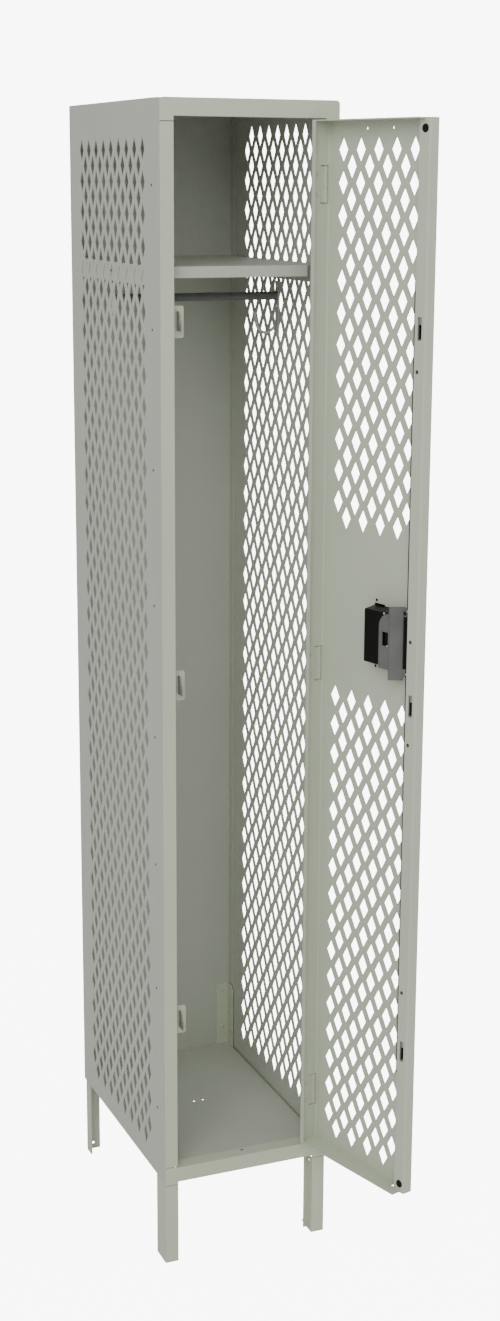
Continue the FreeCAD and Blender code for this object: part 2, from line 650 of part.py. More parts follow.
def strikes():
    """Plates behind the door stop, each with a forward hook that the lock bar drops over."""
    jamb = LEFT + D["jamb_face"]
    face = FRONT + D["jamb_web"]
    edge = jamb + 24.6
    r = 4.0
    plates = []
    hooks = []
    x_hook = PIN_X - D["latch_along"]
    for i, z in enumerate(LATCH_Z):
        outline = [(jamb, z - 25.4)] + bend((edge - r, z - 25.4 + r), r, -90, 0, 4) \
            + bend((edge - r, z + 25.4 - r), r, 0, 90, 4) + [(jamb, z + 25.4)]
        plates.append(profile("strike_%d" % i, "XZ_Plane", outline, 2.5, (0, face, 0)))
        side = [(0.0, -14.0), (0.0, 16.8), (8.0, 16.8), (12.5, 8.0), (12.6, -4.5), (16.3, -4.5), (16.3, 1.5),
                (17.6, 2.5), (19.0, -3.0), (19.0, -12.0), (17.0, -14.0)]
        blank = profile("strike_hook_blank_%d" % i, "YZ_Plane", [(face - reach, z + up) for reach, up in side], 2.0,
                        (x_hook - 3.7, 0, 0))
        throat = profile("strike_throat_%d" % i, "YZ_Plane",
                         [(face - 1.5, z + 12.0), (face - 6.0, z - 1.0), (face - 1.5, z - 1.0)], 4.0,
                         (x_hook - 4.7, 0, 0))
        hooks.append(cut("strike_hook_%d" % i, blank, [throat]))
    node("strike_plates", plates)
    node("strike_hooks", hooks)


# ---- hinges ------------------------------------------------------------------------------

def hinge_layout():
    """Lower ends and heights of the five knuckles, measured from the hinge's middle."""
    gap = D["knuckle_gap"]
    tall = (D["hinge_length"] - gap * 4) / 5
    return [(-(D["hinge_length"] / 2) + (tall + gap) * k, tall) for k in range(5)]


def hinges():
    """Five-knuckle hinges: a leaf on the post, a leaf on the door and a headed pin."""
    frame_leaves = []
    door_leaves = []
    pins = []
    reach = D["knuckle_radius"]
    half = D["hinge_length"] / 2
    bore = D["pin_radius"] + D["pin_running_gap"]
    jamb = RIGHT - D["jamb_face"]
    for i, z in enumerate(HINGE_Z):
        frame_parts = [box("post_leaf_%d" % i, (jamb - TH, jamb), (PIN_Y, FRONT + 20), (z - half, z + half))]
        door_parts = [box("door_leaf_%d" % i, (along(D["door_start"]), along(D["door_start"] - TH)),
                          (0, inward(31.0)), (z - half, z + half))]
        frame_clear = [rod("post_bore_%d" % i, "z", (PIN_X, PIN_Y, z - half - 1), bore, D["hinge_length"] + 2)]
        door_clear = [rod("door_bore_%d" % i, "z", (0, 0, z - half - 1), bore, D["hinge_length"] + 2)]
        swing = reach + 0.25
        for k, (low, tall) in enumerate(hinge_layout()):
            if k % 2 == 0:
                frame_parts.append(rod("post_knuckle_%d_%d" % (i, k), "z", (PIN_X, PIN_Y, z + low), reach, tall))
                door_clear.append(rod("door_relief_%d_%d" % (i, k), "z", (0, 0, z + low - 0.3), swing, tall + 0.6))
            else:
                door_parts.append(rod("door_knuckle_%d_%d" % (i, k), "z", (0, 0, z + low), reach, tall))
                frame_clear.append(rod("post_relief_%d_%d" % (i, k), "z", (PIN_X, PIN_Y, z + low - 0.3), swing,
                                       tall + 0.6))
        frame_leaves.append(cut("post_hinge_%d" % i, fuse("post_hinge_blank_%d" % i, frame_parts), frame_clear))
        door_leaves.append(cut("door_hinge_%d" % i, fuse("door_hinge_blank_%d" % i, door_parts), door_clear))
        shaft = rod("pin_shaft_%d" % i, "z", (PIN_X, PIN_Y, z - half - 0.6), D["pin_radius"],
                    D["hinge_length"] + 1.2)
        caps = [rod("pin_head_low_%d" % i, "z", (PIN_X, PIN_Y, z - half - 1.4), 2.3, 1.0),
                rod("pin_head_high_%d" % i, "z", (PIN_X, PIN_Y, z + half + 0.4), 2.3, 1.0)]
        pins.append(fuse("hinge_pin_%d" % i, [shaft] + caps))
    node("hinge_frame_leaves", frame_leaves)
    node("hinge_door_leaves", door_leaves, on_door=True)
    node("hinge_pins", pins)


def hinge_rivets():
    """Two rivets through the door's hinge flange at each hinge."""
    heads = []
    inside = D["door_start"] + TD
    for i, z in enumerate(HINGE_Z):
        for j, offset in enumerate((-16.6, 16.6)):
            start = (along(inside), inward(24.5), z + offset)
            heads.append(dome("hinge_rivet_%d_%d" % (i, j), "x", start, 3.1, 1.3, -1))
    node("hinge_rivets", heads, on_door=True)


# ---- door --------------------------------------------------------------------------------

def door_section():
    """Plan section of the bent door sheet: lip, hinge flange, rounded edge, lock channel."""
    a = D["door_start"]
    b = D["door_end"]
    r = 4.0
    q = r - TD
    lip = D["hinge_flange"]
    deep = D["channel_depth"]
    pts = [(a + D["hinge_lip"], lip - TD), (a + D["hinge_lip"], lip)]
    pts += bend((a + r, lip - r), r, 90, 180) + bend((a + r, r * 1.0), r, 180, 270)
    pts += bend((b - r, r * 1.0), r, 270, 360) + bend((b - 3.0, deep - 3.0), 3.0, 0, 90)
    pts += [(b - D["channel_return"], deep), (b - D["channel_return"], deep - TD)]
    pts += bend((b - 3.0, deep - 3.0), 1.1, 90, 0, 3) + bend((b - r, r * 1.0), q, 360, 270)
    pts += bend((a + r, r * 1.0), q, 270, 180) + bend((a + r, lip - r), q, 180, 90)
    return [(along(u), inward(n)) for u, n in pts]


def door_pan():
    """The perforated door with its flanges, lock-side channel and cut-outs."""
    low = D["door_bottom"]
    high = D["door_top"]
    a = D["door_start"]
    b = D["door_end"]
    blank = profile("door_blank", "XY_Plane", door_section(), high - low, (0, 0, low))
    ends = []
    for tag, z in (("low", (low, low + TD)), ("high", (high - TD, high))):
        ends.append(box("door_end_wide_" + tag, (along(b - 10), along(a + TD)),
                        (inward(TD), inward(D["hinge_flange"] - TD)), z))
        ends.append(box("door_end_lock_" + tag, (along(b - TD), along(b - 10)),
                        (inward(TD), inward(D["channel_depth"] - TD)), z))
    solid = fuse("door_folded", [blank] + ends)
    tools = []
    first = float(D["door_first"])
    pitch = float(D["door_pitch"])
    rows = list(range(0, 24)) + list(range(35, 67))
    centres = []
    for row in rows:
        up = float(D["first_row"]) - row * float(D["row_pitch"])
        full = row % 2 == 0 if row < 24 else row % 2 == 1
        for column in range(5 if full else 4):
            centres.append((-(first + pitch * (column if full else column + 0.5)), up))
    field = DOC.addObject("Part::Feature", "door_vents_outline")
    faces = []
    for across, up in centres:
        corners = [FreeCAD.Vector(x, 0, z) for x, z in
                   diamond(across, up, float(D["hole_width"]), float(D["hole_height"]))]
        faces.append(Part.Face(Part.makePolygon(corners + [corners[0]])))
    field.Shape = Part.makeCompound(faces)
    vents = DOC.addObject("Part::Extrusion", "door_vents")
    vents.Base = field
    vents.Dir = FreeCAD.Vector(0, 1, 0)
    vents.DirMode = "Custom"
    vents.Solid = True
    bind(vents, "LengthFwd", TD + 4)
    put(vents, 0, inward(-2.0), 0)
    for i, z in enumerate(HINGE_Z):
        tools.append(box("knuckle_window_%d" % i, (along(a + TD + 1), along(a - 1)), (inward(2.3), inward(19.2)),
                         (z - D["hinge_length"] / 2 - 2, z + D["hinge_length"] / 2 + 2)))
    for i, z in enumerate(GUIDE_Z):
        tools.append(rod("guide_hole_%d" % i, "y", (along(GUIDE_U), inward(D["channel_depth"] - TD - 1), z), 2.45,
                         TD + 2))
    for i, z in enumerate(LATCH_Z):
        half = D["slot_width"] / 2
        tools.append(box("latch_slot_%d" % i, (along(D["latch_along"] + half), along(D["latch_along"] - half)),
                         (inward(D["channel_depth"] - TD - 1), inward(D["channel_depth"] + 1)),
                         (z - D["slot_half"], z + D["slot_half"])))
    tools.append(box("handle_opening", (along(D["cup_far"] + 2.2), along(D["cup_near"] - 0.2)),
                     (inward(-1.0), inward(TD + 1)), (D["cup_low"] - 0.2, D["cup_high"] + 0.2)))
    for i, u in enumerate((93.0, 153.0)):
        tools.append(rod("plate_hole_%d" % i, "y", (along(u), inward(-1.0), 1936.8), 2.1, TD + 2))
    for tag, z in (("low", low - 1), ("high", high - TD - 1)):
        tools.append(rod("flange_hole_hinge_" + tag, "z", (along(42.0), inward(26.0), z), 3.2, TD + 2))
        tools.append(rod("flange_hole_lock_" + tag, "z", (along(222.0), inward(14.0), z), 3.2, TD + 2))
    folded = cut("door_cut", solid, tools)
    pierced = DOC.addObject("Part::Cut", "door_pierced")
    pierced.Base = folded
    pierced.Tool = vents
    node("door_pan", [pierced], on_door=True)


# ---- handle and latch --------------------------------------------------------------------

def handle_cup():
    """Black recessed pull: a flange on the door's face and a tapered box behind it."""
    near = D["cup_near"]
    far = D["cup_far"]
    deep = D["cup_depth"]
    low = D["cup_low"]
    high = D["cup_high"]
    back_low = D["cup_back_low"]
    back_high = D["cup_back_high"]
    w = D["cup_wall"]
    plan = [(near, 0.0), (near + 4.7, deep), (far - 26.5, deep), (far - 13, 12.4), (far, 11.0), (far + 2, 0.0)]
    hollow = [(near + w, -1.0), (near + w + 4.5, deep - w), (far - 27.2, deep - w), (far - 13.8, 10.9),
              (far - w, 9.5), (far + 2 - w, -1.0)]
    side = [(0.0, low), (deep, back_low), (deep, back_high), (0.0, high)]
    side_hollow = [(-1.0, low + w), (deep - w, back_low + w), (deep - w, back_high - w), (-1.0, high - w)]
    solids = []
    for name, flat, tall in (("cup_shell", plan, side), ("cup_void", hollow, side_hollow)):
        slab = profile(name + "_plan", "XY_Plane", [(along(u), inward(n)) for u, n in flat], high - low + 20,
                       (0, 0, low - 10))
        wedge = profile(name + "_side", "YZ_Plane", [(inward(n), z) for n, z in tall], far - near + 40,
                        (along(far + 20), 0, 0))
        both = DOC.addObject("Part::MultiCommon", name)
        both.Shapes = [slab, wedge]
        solids.append(both)
    brim = box("cup_brim", (along(far + 9), along(near - 9)), (inward(-1.6), inward(0.0)), (low - 12, high + 12))
    mouth = box("cup_mouth", (along(far + 0.4), along(near + w)), (inward(-3.0), inward(1.0)),
                (low + w, high - w))
    slot = box("lift_slot", (along(193.0), along(189.0)), (inward(deep - 4), inward(deep + 2)),
               (1110.5 - D["bar_travel"], 1134.5))
    body = fuse("cup_body", [solids[0], brim])
    node("handle_cup", [cut("cup", body, [solids[1], mouth, slot])], on_door=True)


def cup_screws():
    """Screw ends that hold the recessed pull, seen on the door's inner face."""
    heads = []
    for i, u in enumerate((137.5, 216.0)):
        for j, z in enumerate((D["cup_low"] - 5.6, D["cup_high"] + 7.5)):
            heads.append(dome("cup_screw_%d_%d" % (i, j), "y", (along(u), inward(TD), z), 2.2, 2.0, 1))
    node("cup_screws", heads, on_door=True)


def pull_stud():
    """Bright stud near the top of the pull's back."""
    node("pull_stud", [dome("stud_head", "y", (along(183.7), inward(D["cup_depth"]), 1186.0), 1.7, 0.9, 1)],
         on_door=True)


def lifter():
    """Grey plate behind the pull that carries the lock bar up and down."""
    low = D["lift_low"]
    high = D["lift_high"]
    seat = D["bar_back"] - D["bar_gauge"]
    flat = box("lift_flat", (along(200.5), along(176.2)), (inward(30.0), inward(32.0)), (low + 16.5, high - 12))
    slope = profile("lift_slope", "XY_Plane",
                    [(along(u), inward(n)) for u, n in ((198.6, 30.0), (199.6, 32.0), (214.6, seat),
                                                        (214.6, seat - 2.0), (212.4, seat - 2.0))],
                    high - low, (0, 0, low))
    foot = box("lift_foot", (along(237.0), along(213.4)), (inward(seat - 2.0), inward(seat)), (low, high))
    solid = fuse("lift_blank", [flat, slope, foot])
    top = high - 12
    corner = rod("lift_corner", "y", (along(200.0), inward(29.0), top - 24), 24.0, 4.0)
    block = box("lift_corner_block", (along(200.0), along(175.0)), (inward(29.0), inward(33.0)), (top - 24, top + 1))
    window = box("lift_window", (along(198.2), along(183.8)), (inward(29.0), inward(33.0)), (1134.7, 1157.4))
    gap = box("lift_gap", (along(238.0), along(214.7)), (inward(seat - 3), inward(seat + 1)), (1099.3, 1184.8))
    eye = box("lift_eye", (along(221.0), along(214.7)), (inward(seat - 3), inward(seat + 1)), (1187.0, 1193.5))
    notch = box("lift_notch", (along(238.0), along(214.7)), (inward(seat - 3), inward(seat + 1)), (low - 1, 1086.8))
    tools = [cut("lift_round", block, [corner]), window, gap, eye, notch]
    node("lifter_plate", [cut("lift", solid, tools)], on_door=True)


def finger_lift():
    """Tab that reaches through the pull's slot, with a ledge for the fingers and a padlock eye."""
    tab = box("lift_tab", (along(192.2), along(189.8)), (inward(4.0), inward(30.0)), (1111.5, 1133.5))
    ledge = box("lift_ledge", (along(197.8), along(178.0)), (inward(4.0), inward(21.0)), (1111.5, 1113.9))
    eye = rod("padlock_eye", "x", (along(194.0), inward(11.5), 1123.7), 4.6, 6.0)
    node("finger_lift", [cut("lift_tab_drilled", fuse("lift_tab_folded", [tab, ledge]), [eye])], on_door=True)


def lock_bar():
    """Flat bar in the door's lock channel with a window for each strike hook."""
    back = D["bar_back"]
    front = back - D["bar_gauge"]
    strip = box("bar_strip", (along(D["bar_outer"]), along(D["bar_inner"])), (inward(front), inward(back)),
                (D["bar_bottom"], D["bar_top"]))
    tools = []
    for i, z in enumerate(LATCH_Z):
        tools.append(box("bar_window_%d" % i, (along(D["latch_along"] + 4.9), along(D["latch_along"] - 5.0)),
                         (inward(front - 1), inward(back + 1)), (z - 16.0, z + 6.0)))
    for i, z in enumerate(GUIDE_Z):
        tools.append(box("bar_guide_slot_%d" % i, (along(GUIDE_U + 2.6), along(GUIDE_U - 2.6)),
                         (inward(front - 1), inward(back + 1)), (z - 2.8, z + 2.8 + D["bar_travel"])))
    node("lock_bar", [cut("bar_cut", strip, tools)], on_door=True)


GUIDE_U = 238.2
GUIDE_Z = [1573.0, 1147.6, 978.0, 552.0]


def bar_guides():
    """Shouldered studs on the channel return that hold the bar as it slides."""
    studs = []
    back = D["bar_back"]
    front = back - D["bar_gauge"]
    for i, z in enumerate(GUIDE_Z):
        stem = rod("guide_stem_%d" % i, "y", (along(GUIDE_U), inward(front - 0.3), z), 2.4,
                   D["channel_depth"] - front + 0.3)
        head = rod("guide_head_%d" % i, "y", (along(GUIDE_U), inward(front - 1.9), z), 4.2, 1.7)
        cap = rod("guide_cap_%d" % i, "y", (along(GUIDE_U), inward(D["channel_depth"]), z), 2.9, 0.7)
        studs.append(fuse("guide_%d" % i, [stem, head, cap]))
    node("bar_guides", studs, on_door=True)


def bar_glides():
    """Black nylon blocks in the lock channel that back the bar beside each strike slot."""
    blocks = []
    for i, z in enumerate(LATCH_Z):
        blocks.append(box("glide_%d" % i, (along(236.0), along(226.5)),
                          (inward(TD), inward(D["bar_back"] - D["bar_gauge"] - 0.6)), (z - 24.0, z + 24.0)))
    node("bar_glides", blocks, on_door=True)


def lifter_rivets():
    """Rivets that join the lifter's two feet to the lock bar."""
    heads = []
    face = D["bar_back"]
    for i, z in enumerate((D["lift_low"] + 12.5, D["lift_high"] - 4.5)):
        heads.append(dome("lift_rivet_%d" % i, "y", (along(227.2), inward(face), z), 1.4, 0.5, 1))
    node("lifter_rivets", heads, on_door=True)


def bumpers():
    """Rubber buttons on the lock edge that quiet the door against its stop."""
    pads = []
    for i, z in enumerate((D["door_top"] - 15.9, D["door_bottom"] + 15.9)):
        pads.append(dome("bumper_%d" % i, "y", (along(243.8), inward(D["channel_depth"]), z), D["bumper_radius"], 1.8,
                         1))
    node("door_bumpers", pads, on_door=True)


def main():
    for build in (uprights, top_rail, bottom_rail, front_legs, leg_splices, foot_plates, rear_legs,
                  side_panels, back_panel, top_panel, bottom_panel, shelf, side_rivets, rear_leg_bolts,
                  coat_rod, rod_brackets, coat_hook, bracket_screws, strikes, hinges, hinge_rivets,
                  door_pan, handle_cup, cup_screws, pull_stud, lifter, finger_lift, lock_bar, bar_guides,
                  bar_glides, lifter_rivets, bumpers):
        build()
    DOC.recompute()
    for obj in DOC.Objects:
        if "Invalid" in obj.State or "Error" in obj.State:
            raise RuntimeError("%s did not compute: %s" % (obj.Label, obj.State))
    os.makedirs(OUT, exist_ok=True)
    for obj in NODES:
        shape = obj.Shape
        if shape.isNull() or not shape.isValid() or not shape.Solids:
            raise RuntimeError("%s has no valid solid" % obj.Label)
        shape.exportStep("%s/%s.step" % (OUT, obj.Label))
        print("%-22s solids %3d  volume %10.1f" % (obj.Label, len(shape.Solids), shape.Volume))


main()
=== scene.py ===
import json
import math

import bmesh
import bpy
from mathutils import Matrix, Vector


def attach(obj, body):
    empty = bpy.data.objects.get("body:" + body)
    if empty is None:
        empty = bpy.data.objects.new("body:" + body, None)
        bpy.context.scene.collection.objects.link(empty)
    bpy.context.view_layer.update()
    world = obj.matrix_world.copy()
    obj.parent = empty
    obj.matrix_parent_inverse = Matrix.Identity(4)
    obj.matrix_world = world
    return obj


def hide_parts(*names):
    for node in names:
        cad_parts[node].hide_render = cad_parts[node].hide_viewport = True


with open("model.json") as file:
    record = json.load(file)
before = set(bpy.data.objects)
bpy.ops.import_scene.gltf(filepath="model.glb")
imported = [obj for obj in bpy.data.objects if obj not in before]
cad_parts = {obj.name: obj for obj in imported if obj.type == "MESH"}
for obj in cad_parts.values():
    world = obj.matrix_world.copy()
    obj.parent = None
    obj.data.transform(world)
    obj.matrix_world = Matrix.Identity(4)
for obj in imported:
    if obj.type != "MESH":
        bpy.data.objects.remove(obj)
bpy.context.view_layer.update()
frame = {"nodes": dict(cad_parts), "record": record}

NODES = frame["nodes"]
RECORD = frame["record"]
SLOT_OF = {part["node"]: part["material_slot"] for part in RECORD["subparts"]}
BODY_OF = {node: body for body, held in RECORD["behaviour"]["bodies"].items() for node in held}


# ---- driving sizes, in mm: x right, y back, z up from the floor ----------------------------

MM = 0.001
HALF_WIDTH = 304.8 / 2
HALF_DEPTH = 457.2 / 2
SHEET = 1.5
BACK_SHEET = 1.2
LEG_GAUGE = 2.0
LEG_SPACER = 1.5

DOOR_BOTTOM = 191.5
DOOR_TOP = 1950.4
HINGE_HEIGHTS = (1851.5, 1067.0, 286.0)
PIN = (127.8, -230.1)
PIN_DEPTH = 6.0
OPEN = math.radians(106.0)

CUP_NEAR = 132.0
CUP_FAR = 222.0
CUP_LOW = 1093.0
CUP_HIGH = 1190.0
CUP_DEPTH = 28.0


# ---- places on the cabinet and on the open door --------------------------------------------

def in_cabinet(x, y, z):
    """A point of the cabinet, in metres."""
    return Vector((x, y, z)) * MM


def on_door(u, n, z):
    """A point of the open door, in metres: u from the pin to the lock edge, n inwards from the face."""
    x = -u
    y = n - PIN_DEPTH
    return Vector((PIN[0] + x * math.cos(OPEN) - y * math.sin(OPEN),
                   PIN[1] + x * math.sin(OPEN) + y * math.cos(OPEN), z)) * MM


ACROSS_DOOR = (on_door(1, 0, 0) - on_door(0, 0, 0)).normalized()
INTO_DOOR = (on_door(0, 1, 0) - on_door(0, 0, 0)).normalized()
UP = (0, 0, 1)


# ---- node material helpers ---------------------------------------------------------------

class Tree:
    """Small wrapper that keeps node set-up short."""

    def __init__(self, name):
        self.mat = bpy.data.materials.new(name)
        self.mat.use_nodes = True
        self.nodes = self.mat.node_tree.nodes
        self.link = self.mat.node_tree.links.new
        self.bsdf = self.nodes["Principled BSDF"]
        self.coord = self.nodes.new("ShaderNodeTexCoord").outputs["Object"]

    def wire_up(self, socket_name, source):
        """Link a source to one of the shader's sockets."""
        self.link(source, self.bsdf.inputs[socket_name])

    def noise(self, scale, detail=2.0, rough=0.5, stretch=None):
        """Noise in object space; stretch scales its axes."""
        source = self.coord
        if stretch:
            mapping = self.nodes.new("ShaderNodeMapping")
            mapping.inputs["Scale"].default_value = stretch
            self.link(self.coord, mapping.inputs["Vector"])
            source = mapping.outputs["Vector"]
        node = self.nodes.new("ShaderNodeTexNoise")
        node.inputs["Scale"].default_value = scale
        node.inputs["Detail"].default_value = detail
        node.inputs["Roughness"].default_value = rough
        self.link(source, node.inputs["Vector"])
        return node.outputs["Fac"]

    def ramp(self, value, stops):
        """Colour ramp with a list of (position, colour) stops."""
        node = self.nodes.new("ShaderNodeValToRGB")
        elements = node.color_ramp.elements
        while len(elements) < len(stops):
            elements.new(0.5)
        for element, (position, colour) in zip(elements, stops):
            element.position = position
            element.color = (*colour, 1.0)
        self.link(value, node.inputs["Fac"])
        return node.outputs["Color"]

    def specks(self, scale, rough, start, end):
        """Small dots of white on black where fine noise rises from start to end."""
        black = (0, 0, 0)
        return self.ramp(self.noise(scale, rough=rough), [(0.0, black), (start, black), (end, (1, 1, 1))])

    def mix(self, share, base, colour):
        """Blend a linked colour towards a fixed one."""
        node = self.nodes.new("ShaderNodeMix")
        node.data_type = "RGBA"
        factor, first, second = node.inputs[0], node.inputs[6], node.inputs[7]
        self.link(share, factor)
        self.link(base, first)
        second.default_value = (*colour, 1.0)
        return node.outputs[2]

    def span(self, value, low, high, to_low, to_high):
        """Map low..high to to_low..to_high."""
        node = self.nodes.new("ShaderNodeMapRange")
        node.inputs["From Min"].default_value = low
        node.inputs["From Max"].default_value = high
        node.inputs["To Min"].default_value = to_low
        node.inputs["To Max"].default_value = to_high
        self.link(value, node.inputs["Value"])
        return node.outputs["Result"]

    def short_of(self, direction, limit, fade=1.5 * MM):
        """1 where the point lies short of limit along direction, fading to 0 beyond it."""
        node = self.nodes.new("ShaderNodeVectorMath")
        node.operation = "DOT_PRODUCT"
        node.inputs[1].default_value = direction
        self.link(self.coord, node.inputs[0])
        return self.span(node.outputs["Value"], limit, limit + fade, 1.0, 0.0)

    def surface(self, height, strength, distance, edge_radius):
        """Relief of the surface over edges softened by edge_radius."""
        bevel = self.nodes.new("ShaderNodeBevel")
        bevel.samples = 4
        bevel.inputs["Radius"].default_value = edge_radius
        bump = self.nodes.new("ShaderNodeBump")
        bump.inputs["Strength"].default_value = strength
        bump.inputs["Distance"].default_value = distance
        self.link(height, bump.inputs["Height"])
        self.link(bevel.outputs["Normal"], bump.inputs["Normal"])
        self.wire_up("Normal", bump.outputs["Normal"])


def srgb(*levels):
    """Linear colour from 0-255 display values."""
    linear = []
    for level in levels:
        c = level / 255.0
        linear.append(c / 12.92 if c <= 0.04045 else ((c + 0.055) / 1.055) ** 2.4)
    return tuple(linear)


def scaled(colour, k):
    """The colour made lighter or darker by k."""
    return tuple(min(1.0, c * k) for c in colour)


# ---- finishes ----------------------------------------------------------------------------

def paint(name, colour, rough=0.42):
    """Powder coat: faint cloudy tone, fine orange peel, a few dusty specks, softened edges."""
    t = Tree(name)
    cloud = t.noise(2.3, detail=5.0, rough=0.6)
    tone = t.ramp(cloud, [(0.3, scaled(colour, 0.955)), (0.7, scaled(colour, 1.03))])
    tone = t.mix(t.specks(420.0, rough=0.6, start=0.69, end=0.76), tone, scaled(colour, 0.86))
    streak = t.noise(9.0, detail=4.0, rough=0.65, stretch=(6.0, 6.0, 0.35))
    tone = t.mix(t.span(streak, 0.55, 0.8, 0.0, 0.22), tone, scaled(colour, 0.90))
    t.wire_up("Base Color", tone)
    t.wire_up("Roughness", t.span(t.noise(14.0, detail=4.0), 0.3, 0.7, rough - 0.05, rough + 0.06))
    peel = t.noise(620.0, detail=3.0, rough=0.55)
    t.surface(peel, strength=0.16, distance=0.4 * MM, edge_radius=0.6 * MM)
    t.bsdf.inputs["Specular IOR Level"].default_value = 0.42
    return t.mat


def plated(name, colour, rough=0.34, grain=(1.0, 1.0, 1.0), metal=0.9, painted_shade=None):
    """Zinc-plated or plain steel: fine drawn grain, mottled tone, small pits.

    The last argument, (direction, limit), places painted shade: the steel is darkened nearly to black where
    it lies short of limit along direction."""
    t = Tree(name)
    mottle = t.noise(60.0, detail=5.0, rough=0.65)
    tone = t.ramp(mottle, [(0.25, scaled(colour, 0.78)), (0.75, scaled(colour, 1.12))])
    line = t.noise(900.0, stretch=grain)
    tone = t.mix(t.span(line, 0.45, 0.75, 0.0, 0.35), tone, scaled(colour, 0.7))
    # Painted shade: the colour drops nearly to black short of the limit.
    if painted_shade:
        tone = t.mix(t.short_of(*painted_shade), tone, scaled(colour, 0.07))
    t.wire_up("Base Color", tone)
    t.wire_up("Roughness", t.span(line, 0.2, 0.8, rough - 0.08, rough + 0.12))
    t.surface(line, strength=0.15, distance=0.3 * MM, edge_radius=0.4 * MM)
    t.bsdf.inputs["Metallic"].default_value = metal
    return t.mat


def moulded(name, colour, rough=0.35, grain=380.0, gloss=0.4):
    """Injection-moulded plastic: fine spark texture, faint flow tone, soft edges."""
    t = Tree(name)
    flow = t.noise(18.0, detail=3.0)
    tone = t.ramp(flow, [(0.3, scaled(colour, 0.85)), (0.7, scaled(colour, 1.15))])
    tone = t.mix(t.specks(650.0, rough=0.5, start=0.66, end=0.74), tone, scaled(colour, 1.5))
    t.wire_up("Base Color", tone)
    t.wire_up("Roughness", t.span(t.noise(40.0, detail=3.0), 0.3, 0.7, rough - 0.05, rough + 0.08))
    spark = t.noise(grain, detail=4.0, rough=0.6)
    t.surface(spark, strength=0.22, distance=0.3 * MM, edge_radius=1.2 * MM)
    t.bsdf.inputs["Specular IOR Level"].default_value = gloss
    return t.mat


# The lock bar is darkened nearly to black on its hinge side, up to this far from the pin: painted shade for
# the shadow in the gap beside the door channel's return.
PAINTED_SHADE_TO = 231.49
PAINTED_SHADE = (ACROSS_DOOR, on_door(PAINTED_SHADE_TO, 0, 0).dot(ACROSS_DOOR))
ALONG_X = (0.05, 1.0, 1.0)
ALONG_Z = (1.0, 1.0, 0.04)

# One finish for each slot of the record, and one for a node that differs from its slot.
MAT = {
    "frame_paint": paint("frame_paint", srgb(188, 195, 173)),
    "cabinet_paint": paint("cabinet_paint", srgb(178, 182, 169)),
    "door_paint": paint("door_paint", srgb(187, 194, 174)),
    "bracket_paint": paint("bracket_paint", srgb(176, 180, 170), rough=0.36),
    "black_plastic": moulded("black_plastic", srgb(9, 9, 9), rough=0.34, gloss=0.15),
    "grey_plastic": moulded("grey_plastic", srgb(98, 98, 97), rough=0.46, grain=300.0, gloss=0.3),
    "zinc_hardware": plated("zinc_hardware", (0.90, 0.90, 0.88), metal=0.55),
    "dark_steel": plated("dark_steel", (0.05, 0.052, 0.048), rough=0.6, metal=0.2),
    # The strike hooks' darker grey is painted shade standing in for the shade on their faces.
    "strike_hooks": plated("strike_hooks", (0.30, 0.305, 0.285), rough=0.55, metal=0.2),
    "rod_steel": plated("rod_steel", (0.15, 0.155, 0.147), rough=0.6, grain=ALONG_X, metal=0.3),
    # The lock bar's dark band on its hinge side is painted shade.
    "bar_steel": plated("bar_steel", (0.42, 0.425, 0.41), rough=0.44, grain=ALONG_Z, painted_shade=PAINTED_SHADE),
    "black_rubber": moulded("black_rubber", srgb(18, 18, 18), rough=0.75, grain=500.0, gloss=0.2),
}


def dress_cad():
    """Give every CAD node its own finish, or that of its slot."""
    for node, slot in SLOT_OF.items():
        NODES[node].data.materials.clear()
        NODES[node].data.materials.append(MAT.get(node, MAT[slot]))


# ---- mesh building blocks ----------------------------------------------------------------

def to_object(name, bm):
    """Put a mesh in the scene with its faces turned outwards."""
    bmesh.ops.recalc_face_normals(bm, faces=bm.faces)
    mesh = bpy.data.meshes.new(name)
    bm.to_mesh(mesh)
    bm.free()
    obj = bpy.data.objects.new(name, mesh)
    bpy.context.scene.collection.objects.link(obj)
    return obj


def piece(name, bm, node, sharp=40.0):
    """A new mesh with the slot and body of the CAD node that it stands for."""
    obj = to_object(name, bm)
    obj.data.materials.append(MAT[SLOT_OF[node]])
    obj.data.shade_smooth()
    obj.data.set_sharp_from_angle(angle=math.radians(sharp))
    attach(obj, BODY_OF[node])
    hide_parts(node)
    return obj


def loft(bm, rings):
    """Skin a list of equal rings of points and close both ends."""
    made = [[bm.verts.new(p) for p in ring] for ring in rings]
    count = len(made[0])
    for low, high in zip(made, made[1:]):
        for i in range(count):
            after = (i + 1) % count
            bm.faces.new((low[i], low[after], high[after], high[i]))
    bm.faces.new(list(reversed(made[0])))
    bm.faces.new(made[-1])


def round_rect(a0, a1, b0, b1, radius, steps=6):
    """Points round a rectangle with rounded corners, counter-clockwise."""
    corners = ((a1 - radius, b1 - radius), (a0 + radius, b1 - radius),
               (a0 + radius, b0 + radius), (a1 - radius, b0 + radius))
    points = []
    for quarter, (a, b) in enumerate(corners):
        for i in range(steps + 1):
            t = math.radians(90.0 * (quarter + i / steps))
            points.append((a + radius * math.cos(t), b + radius * math.sin(t)))
    return points


def door_block(bm, us, zs, ns, radius, steps):
    """A rounded block on the door between two u, two z and two n."""
    loft(bm, [[on_door(u, n, z) for u, z in round_rect(*us, *zs, radius, steps)] for n in ns])


def turned(bm, place, out, across, profile, steps=32):
    """A turned form: profile lists (radius, height) rings along the out direction, in mm."""
    out = Vector(out).normalized()
    across = Vector(across).normalized()
    third = out.cross(across)
    rings = []
    for radius, height in profile:
        ring = []
        for i in range(steps):
            t = 2 * math.pi * i / steps
            spoke = across * math.cos(t) + third * math.sin(t)
            ring.append(place + (spoke * radius + out * height) * MM)
        rings.append(ring)
    loft(bm, rings)


